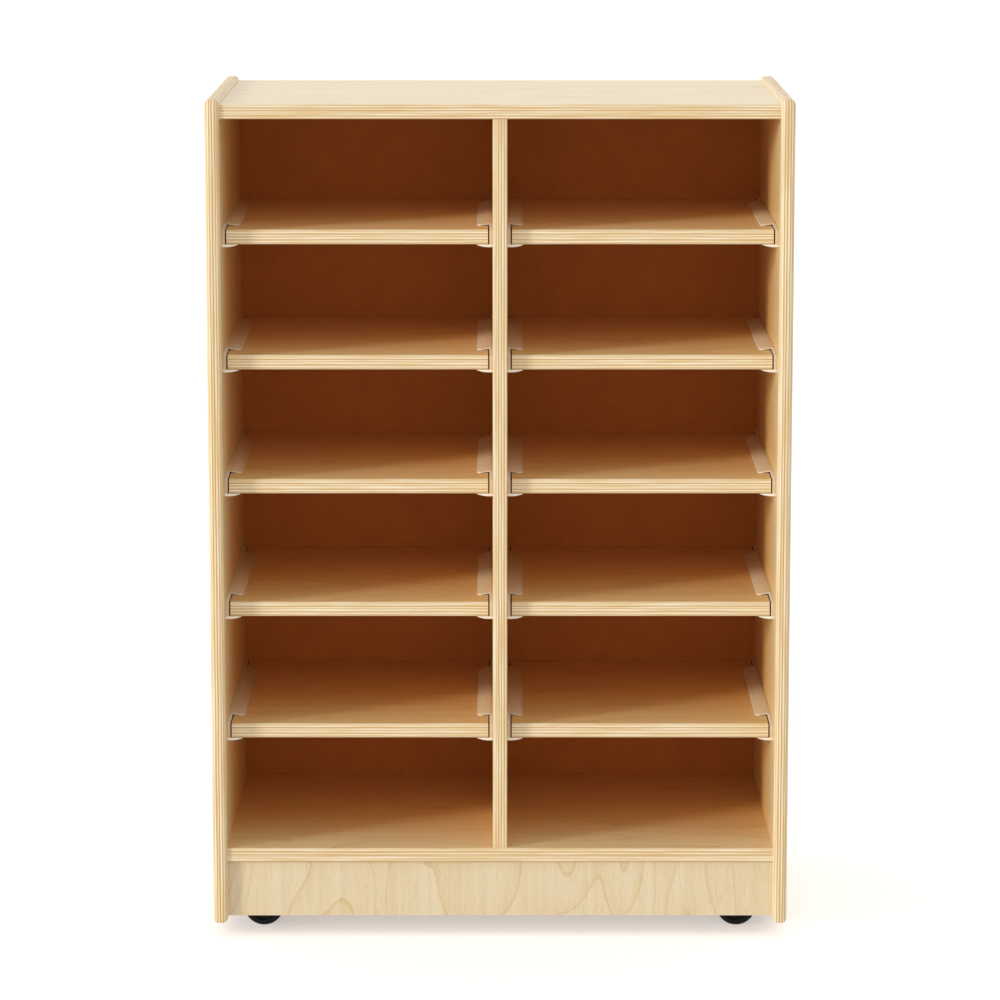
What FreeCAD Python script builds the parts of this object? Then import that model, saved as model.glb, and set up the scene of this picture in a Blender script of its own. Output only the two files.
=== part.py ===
import FreeCAD, Part
import math
import os
import re
import Sketcher
from FreeCAD import Placement, Rotation, Vector

# A mobile plywood cabinet for scrapbook paper: two columns of six bays.  Ten plywood shelves
# slide in pairs of moulded plastic runners, and the cabinet stands on four twin-wheel casters.
# Frame: +Z up, front towards -Y, origin on the floor under the middle of the cabinet.  All in mm.

os.makedirs("parts", exist_ok=True)
doc = FreeCAD.newDocument("PaperStorageCabinet")

# ---------------------------------------------------------------------------------------------
# Driving sizes
# ---------------------------------------------------------------------------------------------
DRIVING_SIZES = {
    # carcase
    "cabinet_width": 720,        # over the outer faces of the two side panels
    "side_depth": 420,           # front edge to rear edge of a side panel
    "ply_thickness": 18,
    "side_clearance": 20,        # floor to the bottom edge of a side panel
    "side_reveal": 6,            # how far the side panels stand proud of the top and its front
    "edge_round": 6,             # round-over on the side panels' exposed edges
    "corner_round": 9,           # side panels' upper corners, seen from the side
    "edge_ease": 2,              # small easing on the front edges of the other panels
    "row_count": 6,              # bays in each column
    "bay_height": 137.25,        # clear height of one bay
    "divider_setback": 3,        # behind the front edges of top and deck
    "back_thickness": 6,
    "back_inset": 7,             # rear edge of the sides to the rear of the back panel
    # joinery
    "housing_depth": 6,          # stopped housings that take the panels' tongues
    "housing_stop": 16,          # from a panel's edge to the end of its tongue
    "tongue_thickness": 9,       # tongues on top and deck, in the middle of the board
    "groove_depth": 6,           # groove that takes the back panel
    "back_end_gap": 0.5,         # spare depth of that groove round the back panel
    # plinths
    "plinth_setback": 8,         # behind the front edge of the deck
    "plinth_clearance": 26,      # floor to the bottom edge of a plinth
    # shelves
    "shelf_setback": 22,         # behind the front edge of the deck
    "shelf_rear_gap": 1,         # to the back panel
    "shelf_end_gap": 5.7,        # from a shelf's end to the panel beside it
    "shelf_chamfer": 1.2,        # on the shelf's front edges
    # shelf runners
    "web_thickness": 4.1,        # the web lies flat on the panel
    "flange_reach": 20,          # lower flange, measured from the panel
    "flange_root": 3.5,
    "flange_tip": 0.6,
    "flange_curve": 40,          # radius of the crowned underside
    "lip_reach": 19.6,           # upper lip, measured from the panel
    "lip_thickness": 1.3,
    "lip_rise": 2.1,             # the lip's root stands this much above the shelf
    "lip_clearance": 0.2,        # between the lip's tip and the shelf
    "lip_pad": 3,                # flat at the lip's tip
    "lip_root_setback": 46,      # from the runner's front to the lip, at its root
    "lip_setback": 42,           # the same, where the lip's front corner starts
    "lip_front_along": 16,       # rounded free front corner of the lip, along the runner
    "lip_front_across": 5,       # the same, across it
    "lip_front_curve": 14,       # its radius
    "lip_rear_gap": 46,          # from the back panel to the lip's rear end
    "lip_corner_along": 17,      # chamfer of the lip's free rear corner, along the runner
    "lip_corner_across": 11,     # the same, across it
    "nose_drop": 1,              # the web's front stops this far below the shelf's top
    "runner_rear_gap": 4,        # from the runner's rear end to the back panel
    # casters
    "caster_height": 61,
    "block_thickness": 36,       # mounting blocks under the deck, two plies glued
    "block_size": 64,
    "kingpin_from_side": 62,     # kingpin axis to the side panel's inner face
    "kingpin_from_edge": 86,     # kingpin axis to the side panel's front or rear edge
    "plate_size": 42,
    "plate_thickness": 2.5,
    "plate_corner": 6,           # its clipped corners, along each edge
    "kingpin_radius": 4,
    "kingpin_length": 30,
    "kingpin_clearance": 0.05,
    "bore_spare": 1,             # spare depth of the bore that takes the kingpin
    "caster_offset": 20,         # kingpin axis to axle axis
    "wheel_radius": 25,
    "wheel_width": 16,
    "wheel_gap": 15,             # between the inner faces of a pair of wheels
    "axle_radius": 3,
    "axle_seat_clearance": 0.02,
    "axle_bore_clearance": 0.06,
    "axle_cover": 3.5,           # closed end of a wheel's bore
    "frame_clearance": 0.4,      # between the hood's frame and each wheel
    "hood_clearance": 1,         # between the treads and the hood
    "hood_wall": 2.2,
    "hood_width": 44,
    "hood_tail_angle": 35,       # where the hood ends behind the wheels, above the horizontal
    "hood_nose_angle": 10,       # where it ends in front of them, below the horizontal
    "neck_half_length": 8.5,     # neck of the frame, round the kingpin
    "frame_foot": 11,            # underside of the hood's frame below the axle
}

# Places that several pieces share, each worked out from the driving sizes.
SHARED_PLACES = {
    "deck_underside": "caster_height + block_thickness",
    "deck_top": "deck_underside + ply_thickness",
    "row_pitch": "bay_height + ply_thickness",
    "top_surface": "deck_top + row_count * row_pitch",
    "top_underside": "top_surface - ply_thickness",
    "tongue_lift": "(ply_thickness - tongue_thickness) / 2",
    "side_inner_face": "cabinet_width / 2 - ply_thickness",
    "divider_face": "ply_thickness / 2",
    "front_edge": "-side_depth / 2",
    "rear_edge": "side_depth / 2",
    "deck_front": "front_edge + side_reveal",
    "back_rear_face": "rear_edge - back_inset",
    "back_front_face": "back_rear_face - back_thickness",
    "divider_front": "deck_front + divider_setback",
    "shelf_front": "deck_front + shelf_setback",
    "shelf_depth": "back_front_face - shelf_rear_gap - shelf_front",
    "shelf_width": "side_inner_face - divider_face - 2 * shelf_end_gap",
    "plinth_face": "deck_front + plinth_setback",
    "plinth_height": "deck_underside - plinth_clearance",
    "runner_length": "back_front_face - runner_rear_gap - shelf_front",
    "lip_end": "back_front_face - lip_rear_gap - shelf_front",
    "lip_top": "ply_thickness + lip_rise + lip_thickness",
    "lip_slope": "(lip_rise - lip_clearance) / (lip_reach - lip_pad)",
    "kingpin_x": "side_inner_face - kingpin_from_side",
    "kingpin_y": "rear_edge - kingpin_from_edge",
    "plate_underside": "caster_height - plate_thickness",
    "frame_thickness": "wheel_gap - 2 * frame_clearance",
    "hood_inner_radius": "wheel_radius + hood_clearance",
    "hood_outer_radius": "hood_inner_radius + hood_wall",
    "axle_half_length": "wheel_gap / 2 + wheel_width - axle_cover",
}

sheet = doc.addObject("Spreadsheet::Sheet", "Sizes")
for row, (alias, size) in enumerate(DRIVING_SIZES.items(), start=1):
    sheet.set(f"A{row}", alias.replace("_", " "))
    sheet.set(f"B{row}", str(size))
    sheet.setAlias(f"B{row}", alias)
doc.recompute()


# ---------------------------------------------------------------------------------------------
# Formulas and sketches
# ---------------------------------------------------------------------------------------------
def formula(text):
    """Turn plain words for sizes into an expression on the sheet's cells."""
    def cell(match):
        word = match.group(0)
        if word in SHARED_PLACES:
            return f"({formula(SHARED_PLACES[word])})"
        return f"Sizes.{word}" if word in DRIVING_SIZES else word
    return re.sub(r"[a-z_]+", cell, str(text))


def number(text):
    """The present value of a formula."""
    return float(sheet.evalExpression(formula(text)))


def sketch_on(body, name, plane, lift="0"):
    """A sketch on one of the body's own origin planes, lifted along its normal."""
    sketch = body.newObject("Sketcher::SketchObject", name)
    support = [item for item in body.Origin.OriginFeatures if item.Role == plane]
    sketch.AttachmentSupport = [(support[0], "")]
    sketch.MapMode = "FlatFace"
    sketch.setExpression("AttachmentOffset.Base.z", formula(lift))
    return sketch


def hold(sketch, kind, geometry, text, name):
    """Add a named dimension and bind it to a formula."""
    index = sketch.addConstraint(Sketcher.Constraint(kind, *geometry, number(text)))
    sketch.renameConstraint(index, name)
    sketch.setExpression(f"Constraints.{name}", formula(text))


def hold_point(sketch, geometry, point, across, up, name):
    """Place one sketch point by two formulas, or on an axis where a formula is 0."""
    for kind, axis, text in (("DistanceX", -2, across), ("DistanceY", -1, up)):
        if str(text) == "0":
            sketch.addConstraint(Sketcher.Constraint("PointOnObject", geometry, point, axis))
        else:
            hold(sketch, kind, (-1, 1, geometry, point), text, f"{name}_{kind[-1].lower()}")


def draw_outline(sketch, corners):
    """A closed outline.  A corner is (across, up), or (across, up, radius) where the edge that
    leaves it is an arc: a positive radius has its centre on the left of the way along."""
    spots = [Vector(number(corner[0]), number(corner[1]), 0) for corner in corners]
    ends = []
    for index, corner in enumerate(corners):
        start = spots[index]
        end = spots[(index + 1) % len(spots)]
        if len(corner) == 2:
            edge = sketch.addGeometry(Part.LineSegment(start, end))
            ends.append((edge, 1, 2))
            continue
        radius = number(corner[2])
        chord = end - start
        left = Vector(-chord.y, chord.x, 0).normalize()
        rise = math.sqrt(radius ** 2 - (chord.Length / 2) ** 2)
        centre = (start + end) / 2 + left * math.copysign(rise, radius)
        first, last = (start, end) if radius > 0 else (end, start)
        circle = Part.Circle(centre, Vector(0, 0, 1), abs(radius))
        turns = [math.atan2(spot.y - centre.y, spot.x - centre.x) for spot in (first, last)]
        edge = sketch.addGeometry(Part.ArcOfCircle(circle, turns[0], turns[1]))
        ends.append((edge, 1, 2) if radius > 0 else (edge, 2, 1))
        hold(sketch, "Radius", (edge,), f"abs({corner[2]})", f"radius_{index}")
    for index, (edge, start_point, end_point) in enumerate(ends):
        following, following_start, _ = ends[(index + 1) % len(ends)]
        sketch.addConstraint(
            Sketcher.Constraint("Coincident", edge, end_point, following, following_start))
        hold_point(sketch, edge, start_point, corners[index][0], corners[index][1],
                   f"corner_{index}")


def draw_rectangle(sketch, left, bottom, right, top):
    draw_outline(sketch, [(left, bottom), (right, bottom), (right, top), (left, top)])


def draw_circle(sketch, across, up, radius):
    centre = Vector(number(across), number(up), 0)
    circle = sketch.addGeometry(Part.Circle(centre, Vector(0, 0, 1), number(radius)))
    hold(sketch, "Radius", (circle,), radius, "radius")
    hold_point(sketch, circle, 3, across, up, "centre")


# ---------------------------------------------------------------------------------------------
# Bodies and features
# ---------------------------------------------------------------------------------------------
def new_body(label, x="0", y="0", z="0", turned=False):
    """A sub-part's body, placed by formulas and turned half round if asked."""
    body = doc.addObject("PartDesign::Body", label)
    body.Label = label
    body.Placement = Placement(Vector(), Rotation(Vector(0, 0, 1), 180 if turned else 0))
    for axis, text in zip("xyz", (x, y, z)):
        body.setExpression(f"Placement.Base.{axis}", formula(text))
    return body


def group(label, members):
    """Identical loose pieces that share one node."""
    compound = doc.addObject("Part::Compound", label)
    compound.Label = label
    compound.Links = members
    return compound


def pad(body, sketch, length, reverse=False, both_ways=False):
    feature = body.newObject("PartDesign::Pad", f"{body.Name}_pad")
    feature.Profile = sketch
    feature.setExpression("Length", formula(length))
    feature.Reversed = reverse
    feature.Midplane = both_ways
    return feature


def pocket(body, sketch, depth, reverse=False, both_ways=False):
    """Cut a sketch into the body; with no depth it cuts right through."""
    feature = body.newObject("PartDesign::Pocket", f"{body.Name}_pocket")
    feature.Profile = sketch
    if depth is None:
        feature.Type = "ThroughAll"
    else:
        feature.setExpression("Length", formula(depth))
    feature.Reversed = reverse
    feature.Midplane = both_ways
    return feature


def revolve(body, sketch):
    """Turn a sketch once round its own upright axis."""
    feature = body.newObject("PartDesign::Revolution", f"{body.Name}_turned")
    feature.Profile = sketch
    feature.ReferenceAxis = (sketch, ["V_Axis"])
    feature.Angle = 360
    return feature


def round_edges(body, size, wanted, kind="Fillet"):
    """Fillet or chamfer the edges of the body's present shape whose box passes the test."""
    doc.recompute()
    base = body.Tip
    names = []
    for index, edge in enumerate(base.Shape.Edges, start=1):
        if wanted(edge.BoundBox):
            names.append(f"Edge{index}")
    if not names:
        raise RuntimeError(f"{body.Label}: no edge to round")
    feature = body.newObject(f"PartDesign::{kind}", f"{body.Name}_{kind.lower()}")
    feature.Base = (base, names)
    feature.setExpression("Radius" if kind == "Fillet" else "Size", formula(size))
    return feature


def near(value, text):
    return abs(value - number(text)) < 0.01


sub_parts = []


# ---------------------------------------------------------------------------------------------
# Side panels: plywood, every exposed edge rounded over on both faces
# ---------------------------------------------------------------------------------------------
def make_side_panel(label, right):
    body = new_body(label, x="side_inner_face" if right else "-side_inner_face")
    outline = sketch_on(body, f"{label}_outline", "YZ_Plane")
    draw_rectangle(outline, "front_edge", "side_clearance",
                   "rear_edge", "top_surface + side_reveal")
    pad(body, outline, "ply_thickness", reverse=not right)
    round_edges(body, "corner_round",
                lambda box: near(box.ZMin, "top_surface + side_reveal") and box.YLength < 0.01)
    inner_and_outer = ("0", "ply_thickness" if right else "-ply_thickness")
    round_edges(body, "edge_round",
                lambda box: box.XLength < 0.01 and any(near(box.XMin, x) for x in inner_and_outer))
    # Stopped housings for the tongues of the top and the deck.
    for name, low in (("top", "top_underside"), ("deck", "deck_underside")):
        housing = sketch_on(body, f"{label}_{name}_housing", "YZ_Plane")
        tongue_underside = f"{low} + tongue_lift"
        draw_rectangle(housing, "deck_front + housing_stop", tongue_underside,
                       "rear_edge - housing_stop", f"{tongue_underside} + tongue_thickness")
        pocket(body, housing, "housing_depth", reverse=right)
    # The same for the two plinths, and the groove for the back panel.
    for name, face in (("front", "plinth_face"), ("rear", "-plinth_face - ply_thickness")):
        housing = sketch_on(body, f"{label}_{name}_plinth_housing", "YZ_Plane")
        draw_rectangle(housing, face, "plinth_clearance + housing_stop",
                       f"{face} + ply_thickness", "deck_underside - housing_stop")
        pocket(body, housing, "housing_depth", reverse=right)
    groove = sketch_on(body, f"{label}_back_groove", "YZ_Plane")
    draw_rectangle(groove, "back_front_face", "deck_top - groove_depth",
                   "back_rear_face", "top_underside + groove_depth")
    pocket(body, groove, "groove_depth", reverse=right)
    return body


sub_parts.append(make_side_panel("side_panel_left", right=False))
sub_parts.append(make_side_panel("side_panel_right", right=True))


# ---------------------------------------------------------------------------------------------
# Top and deck: plywood, tongued into the sides, housed for the divider, grooved for the back
# ---------------------------------------------------------------------------------------------
def make_level_panel(label, underside, work_on_top):
    body = new_body(label, z=underside)
    plan = sketch_on(body, f"{label}_plan", "XY_Plane")
    draw_rectangle(plan, "-side_inner_face", "deck_front", "side_inner_face", "rear_edge")
    pad(body, plan, "ply_thickness")
    # One tongue at each end, stopped short of the front and the rear.
    tongues = sketch_on(body, f"{label}_tongues", "XY_Plane", "tongue_lift")
    draw_rectangle(tongues, "-side_inner_face - housing_depth", "deck_front + housing_stop",
                   "side_inner_face + housing_depth", "rear_edge - housing_stop")
    pad(body, tongues, "tongue_thickness")
    # The worked face is the one that looks into the bays.
    worked_face = "ply_thickness" if work_on_top else "0"
    groove = sketch_on(body, f"{label}_back_groove", "XY_Plane", worked_face)
    draw_rectangle(groove, "-side_inner_face - groove_depth", "back_front_face",
                   "side_inner_face + groove_depth", "back_rear_face")
    pocket(body, groove, "groove_depth", reverse=not work_on_top)
    housing = sketch_on(body, f"{label}_divider_housing", "XY_Plane", worked_face)
    draw_rectangle(housing, "-divider_face", "divider_front + housing_stop",
                   "divider_face", "back_front_face - housing_stop")
    pocket(body, housing, "housing_depth", reverse=not work_on_top)
    round_edges(body, "edge_ease",
                lambda box: near(box.YMin, "deck_front") and near(box.YMax, "deck_front")
                and box.XLength > box.ZLength)
    return body


sub_parts.append(make_level_panel("top_panel", "top_underside", work_on_top=False))
sub_parts.append(make_level_panel("deck_panel", "deck_underside", work_on_top=True))

# ---------------------------------------------------------------------------------------------
# Centre divider: plywood, tongued into the top and the deck
# ---------------------------------------------------------------------------------------------
divider = new_body("center_divider")
divider_outline = sketch_on(divider, "center_divider_outline", "YZ_Plane")
lower_end = [("divider_front", "deck_top"),
             ("divider_front + housing_stop", "deck_top"),
             ("divider_front + housing_stop", "deck_top - housing_depth"),
             ("back_front_face - housing_stop", "deck_top - housing_depth"),
             ("back_front_face - housing_stop", "deck_top"),
             ("back_front_face", "deck_top")]
upper_end = [("back_front_face", "top_underside"),
             ("back_front_face - housing_stop", "top_underside"),
             ("back_front_face - housing_stop", "top_underside + housing_depth"),
             ("divider_front + housing_stop", "top_underside + housing_depth"),
             ("divider_front + housing_stop", "top_underside"),
             ("divider_front", "top_underside")]
draw_outline(divider_outline, lower_end + upper_end)
pad(divider, divider_outline, "ply_thickness", both_ways=True)
round_edges(divider, "edge_ease",
            lambda box: near(box.YMin, "divider_front") and near(box.YMax, "divider_front")
            and box.ZLength > box.XLength)
sub_parts.append(divider)

# ---------------------------------------------------------------------------------------------
# Back panel: thin board held in grooves all round
# ---------------------------------------------------------------------------------------------
back = new_body("back_panel", y="back_front_face")
back_outline = sketch_on(back, "back_panel_outline", "XZ_Plane")
back_reach = "groove_depth - back_end_gap"
draw_rectangle(back_outline, f"-side_inner_face - ({back_reach})", f"deck_top - ({back_reach})",
               f"side_inner_face + {back_reach}", f"top_underside + {back_reach}")
pad(back, back_outline, "back_thickness", reverse=True)
sub_parts.append(back)


# ---------------------------------------------------------------------------------------------
# Plinths: plywood kick boards under the deck, front and rear, tongued into the sides
# ---------------------------------------------------------------------------------------------
def make_plinth(label, face):
    body = new_body(label, y=face, z="plinth_clearance")
    outline = sketch_on(body, f"{label}_outline", "XZ_Plane")
    body_end = "side_inner_face"
    tongue_end = "side_inner_face + housing_depth"
    tongue_top = "plinth_height - housing_stop"
    right_end = [(body_end, "0"), (body_end, "housing_stop"), (tongue_end, "housing_stop"),
                 (tongue_end, tongue_top), (body_end, tongue_top), (body_end, "plinth_height")]
    left_end = [(f"-({across})", up) for across, up in reversed(right_end)]
    draw_outline(outline, right_end + left_end)
    pad(body, outline, "ply_thickness", reverse=True)
    return body


sub_parts.append(make_plinth("plinth_front", "plinth_face"))
sub_parts.append(make_plinth("plinth_rear", "-plinth_face - ply_thickness"))


# ---------------------------------------------------------------------------------------------
# Shelf runners: moulded channels, one on each side of every shelf.  The web lies on the panel,
# the crowned lower flange tapers to its tip and carries the shelf, and the upper lip slopes
# down from its root to press lightly on the shelf.  The web's nose rises from the front to the
# lip, the lip's free front corner is rounded, and its free rear corner is cut off.
# ---------------------------------------------------------------------------------------------
def make_runner(label, panel_face, way, shelf_underside):
    """way is 1 where the shelf lies towards +X of the panel's face, and -1 where it lies to -X."""
    body = new_body(label, x=panel_face, y="shelf_front", z=shelf_underside)
    section = sketch_on(body, f"{label}_section", "XZ_Plane")
    pad_start = "lip_reach - lip_pad"
    tip_underside = "ply_thickness + lip_clearance"
    root_underside = f"{tip_underside} + lip_slope * ({pad_start} - web_thickness)"
    right_hand = [("0", "-flange_root", "flange_curve"),
                  ("flange_reach", "-flange_tip"),
                  ("flange_reach", "0"),
                  ("web_thickness", "0"),
                  ("web_thickness", root_underside),
                  (pad_start, tip_underside),
                  ("lip_reach", tip_underside),
                  ("lip_reach", f"{tip_underside} + lip_thickness"),
                  (pad_start, f"{tip_underside} + lip_thickness"),
                  ("0", "lip_top")]
    corners = []
    for corner in right_hand:
        across = corner[0] if corner[0] == "0" else f"{way} * ({corner[0]})"
        bend = tuple(f"{way} * {radius}" for radius in corner[2:])
        corners.append((across, corner[1]) + bend)
    draw_outline(section, corners)
    pad(body, section, "runner_length", reverse=True)
    # Nose: above this line the web is cut away at the front.
    nose = sketch_on(body, f"{label}_nose", "YZ_Plane")
    clear_above = "lip_top + lip_thickness"
    draw_outline(nose, [("-lip_thickness", "ply_thickness - nose_drop"),
                        ("0", "ply_thickness - nose_drop"),
                        ("lip_root_setback", "lip_top"),
                        ("lip_root_setback", clear_above),
                        ("-lip_thickness", clear_above)])
    pocket(body, nose, None, both_ways=True)
    # Front: the lip starts behind the nose, with its free corner rounded.
    clear_beside = "lip_reach + lip_thickness"
    front = sketch_on(body, f"{label}_front", "XY_Plane", "ply_thickness / 2")
    corner_end = "lip_setback + lip_front_along"
    front_cut = [("web_thickness", "-lip_thickness"),
                 (clear_beside, "-lip_thickness"),
                 (clear_beside, corner_end),
                 ("lip_reach", corner_end, f"{-way} * lip_front_curve"),
                 ("lip_reach - lip_front_across", "lip_setback"),
                 ("web_thickness", "lip_root_setback")]
    draw_outline(front, [(f"{way} * ({corner[0]})",) + corner[1:] for corner in front_cut])
    pocket(body, front, None, reverse=True)
    # Rear: the lip stops short of the runner's end, with its free corner cut off.
    tail = sketch_on(body, f"{label}_tail", "XY_Plane", "ply_thickness / 2")
    clear_behind = "runner_length + lip_thickness"
    corner_cut = [("web_thickness", "lip_end"),
                  ("lip_reach - lip_corner_across", "lip_end"),
                  ("lip_reach", "lip_end - lip_corner_along"),
                  (clear_beside, "lip_end - lip_corner_along"),
                  (clear_beside, clear_behind),
                  ("web_thickness", clear_behind)]
    draw_outline(tail, [(f"{way} * ({across})", along) for across, along in corner_cut])
    pocket(body, tail, None, reverse=True)
    return body


def make_shelf(label, middle, underside):
    """A plywood shelf that slides in its two runners."""
    body = new_body(label, x=middle, y="shelf_front", z=underside)
    plan = sketch_on(body, f"{label}_plan", "XY_Plane")
    draw_rectangle(plan, "-shelf_width / 2", "0", "shelf_width / 2", "shelf_depth")
    pad(body, plan, "ply_thickness")
    round_edges(body, "shelf_chamfer",
                lambda box: box.YMax < 0.01 and box.XLength > box.ZLength, "Chamfer")
    return body


for column, way in (("left", -1), ("right", 1)):
    for shelf in range(1, int(number("row_count"))):
        underside = f"top_surface - {shelf} * row_pitch - ply_thickness"
        name = f"{column}_{shelf}"
        middle = f"{way} * (side_inner_face + divider_face) / 2"
        outer_face = f"{way} * side_inner_face"
        inner_face = f"{way} * divider_face"
        sub_parts.append(make_shelf(f"shelf_{name}", middle, underside))
        sub_parts.append(make_runner(f"runner_{name}_outer", outer_face, -way, underside))
        sub_parts.append(make_runner(f"runner_{name}_inner", inner_face, way, underside))

# ---------------------------------------------------------------------------------------------
# Casters: a mounting block under the deck, a steel plate and its kingpin, a moulded hood whose
# frame stands between two wheels and turns on the kingpin, an axle, and the two wheels
# ---------------------------------------------------------------------------------------------
CORNERS = {
    "front_left": ("-kingpin_x", "-kingpin_y"),
    "front_right": ("kingpin_x", "-kingpin_y"),
    "rear_left": ("-kingpin_x", "kingpin_y"),
    "rear_right": ("kingpin_x", "kingpin_y"),
}


def make_block(label, x, y):
    block = doc.addObject("Part::Box", label)
    block.setExpression("Length", formula("block_size"))
    block.setExpression("Width", formula("block_size"))
    block.setExpression("Height", formula("block_thickness"))
    block.setExpression("Placement.Base.x", formula(f"{x} - block_size / 2"))
    block.setExpression("Placement.Base.y", formula(f"{y} - block_size / 2"))
    block.setExpression("Placement.Base.z", formula("caster_height"))
    return block


def make_plate(label, x, y):
    """A steel plate that screws up under its block."""
    body = new_body(label, x, y, "plate_underside")
    plan = sketch_on(body, f"{label}_plan", "XY_Plane")
    half = "plate_size / 2"
    short = f"({half} - plate_corner)"
    draw_outline(plan, [(f"-{half}", f"-{short}"), (f"-{short}", f"-{half}"),
                        (short, f"-{half}"), (half, f"-{short}"),
                        (half, short), (short, half),
                        (f"-{short}", half), (f"-{half}", short)])
    pad(body, plan, "plate_thickness")
    return body


def make_kingpin(label, x, y):
    """A steel pin that hangs from the middle of its plate."""
    body = new_body(label, x, y, "plate_underside")
    outline = sketch_on(body, f"{label}_outline", "XY_Plane")
    draw_circle(outline, "0", "0", "kingpin_radius")
    pad(body, outline, "kingpin_length", reverse=True)
    return body


def make_hood(label, x, y, turned):
    """The frame and the arched cover over the wheels are one moulding."""
    body = new_body(label, x, y, turned=turned)
    side_view = sketch_on(body, f"{label}_side_view", "XZ_Plane")
    tail_across = "hood_outer_radius * cos(hood_tail_angle)"
    tail_up = "hood_outer_radius * sin(hood_tail_angle)"
    nose_across = "hood_outer_radius * cos(hood_nose_angle)"
    nose_up = "hood_outer_radius * sin(hood_nose_angle)"
    draw_outline(side_view, [
        (f"caster_offset + {tail_across}", f"wheel_radius + {tail_up}", "hood_outer_radius"),
        ("caster_offset", "wheel_radius + hood_outer_radius", "hood_outer_radius"),
        (f"caster_offset - {nose_across}", f"wheel_radius - {nose_up}"),
        ("caster_offset - frame_foot", "wheel_radius - frame_foot"),
        ("caster_offset + frame_foot", "wheel_radius - frame_foot")])
    pad(body, side_view, "hood_width", both_ways=True)
    neck = sketch_on(body, f"{label}_neck", "XZ_Plane")
    draw_rectangle(neck, "-neck_half_length", "wheel_radius",
                   "neck_half_length", "plate_underside")
    pad(body, neck, "frame_thickness", both_ways=True)
    # A wheel space on each side leaves the frame in the middle and the arched cover above.
    for side, way, back_to_front in (("fore", 1, False), ("aft", -1, True)):
        space = sketch_on(body, f"{label}_space_{side}", "XZ_Plane", f"{way} * hood_width / 2")
        draw_circle(space, "caster_offset", "wheel_radius", "hood_inner_radius")
        pocket(body, space, "(hood_width - frame_thickness) / 2", reverse=back_to_front)
    bore = sketch_on(body, f"{label}_kingpin_bore", "XY_Plane", "plate_underside")
    draw_circle(bore, "0", "0", "kingpin_radius + kingpin_clearance")
    pocket(body, bore, "kingpin_length + bore_spare")
    axle_hole = sketch_on(body, f"{label}_axle_hole", "XZ_Plane")
    draw_circle(axle_hole, "caster_offset", "wheel_radius", "axle_radius + axle_seat_clearance")
    pocket(body, axle_hole, None, both_ways=True)
    return body


def make_axle(label, x, y):
    body = new_body(label, x, y, "wheel_radius")
    outline = sketch_on(body, f"{label}_outline", "XY_Plane")
    draw_rectangle(outline, "0", "-axle_half_length", "axle_radius", "axle_half_length")
    revolve(body, outline)
    return body


def make_wheel(label, x, y, turned):
    """One wheel of a pair, with a bore that is open towards the frame and closed outside."""
    body = new_body(label, x, y, "wheel_radius", turned=turned)
    section = sketch_on(body, f"{label}_section", "XY_Plane")
    bore = "axle_radius + axle_bore_clearance"
    bore_end = "axle_half_length + axle_bore_clearance"
    inner_face = "wheel_gap / 2"
    outer_face = "wheel_gap / 2 + wheel_width"
    draw_outline(section, [("0", outer_face), ("0", bore_end), (bore, bore_end),
                           (bore, inner_face), ("wheel_radius", inner_face),
                           ("wheel_radius", outer_face)])
    revolve(body, section)
    return body


blocks = [make_block(f"block_{corner}", x, y) for corner, (x, y) in CORNERS.items()]
sub_parts.append(group("caster_blocks", blocks))
plates = [make_plate(f"plate_{corner}", x, y) for corner, (x, y) in CORNERS.items()]
kingpins = [make_kingpin(f"kingpin_{corner}", x, y) for corner, (x, y) in CORNERS.items()]
sub_parts.append(group("caster_plates", plates + kingpins))
for corner, (x, y) in CORNERS.items():
    # The wheels trail outwards, away from the cabinet's middle.
    outward = -1 if x.startswith("-") else 1
    axle_x = f"{x} + {outward} * caster_offset"
    sub_parts.append(make_hood(f"caster_hood_{corner}", x, y, turned=outward < 0))
    sub_parts.append(make_axle(f"caster_axle_{corner}", axle_x, y))
    sub_parts.append(make_wheel(f"caster_wheel_{corner}_fore", axle_x, y, turned=True))
    sub_parts.append(make_wheel(f"caster_wheel_{corner}_aft", axle_x, y, turned=False))

# ---------------------------------------------------------------------------------------------
# Checks and export
# ---------------------------------------------------------------------------------------------
doc.recompute()
for item in doc.Objects:
    if "Invalid" in item.State or "Error" in item.State:
        raise RuntimeError(f"{item.Label} did not compute")
    if item.isDerivedFrom("PartDesign::Pocket"):
        if item.Shape.Volume > item.BaseFeature.Shape.Volume - 1:
            raise RuntimeError(f"{item.Label} cuts nothing")
for item in sub_parts:
    if item.Shape.isNull() or not item.Shape.isValid():
        raise RuntimeError(f"{item.Label} has no sound shape")

for item in sub_parts:
    item.Shape.exportStep(f"parts/{item.Label}.step")
    box = item.Shape.BoundBox
    print(f"{item.Label}: {len(item.Shape.Solids)} solid(s), {item.Shape.Volume / 1000:.1f} cm3, "
          f"x {box.XMin:.1f}..{box.XMax:.1f}, y {box.YMin:.1f}..{box.YMax:.1f}, "
          f"z {box.ZMin:.1f}..{box.ZMax:.1f}")
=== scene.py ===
import math

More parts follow.
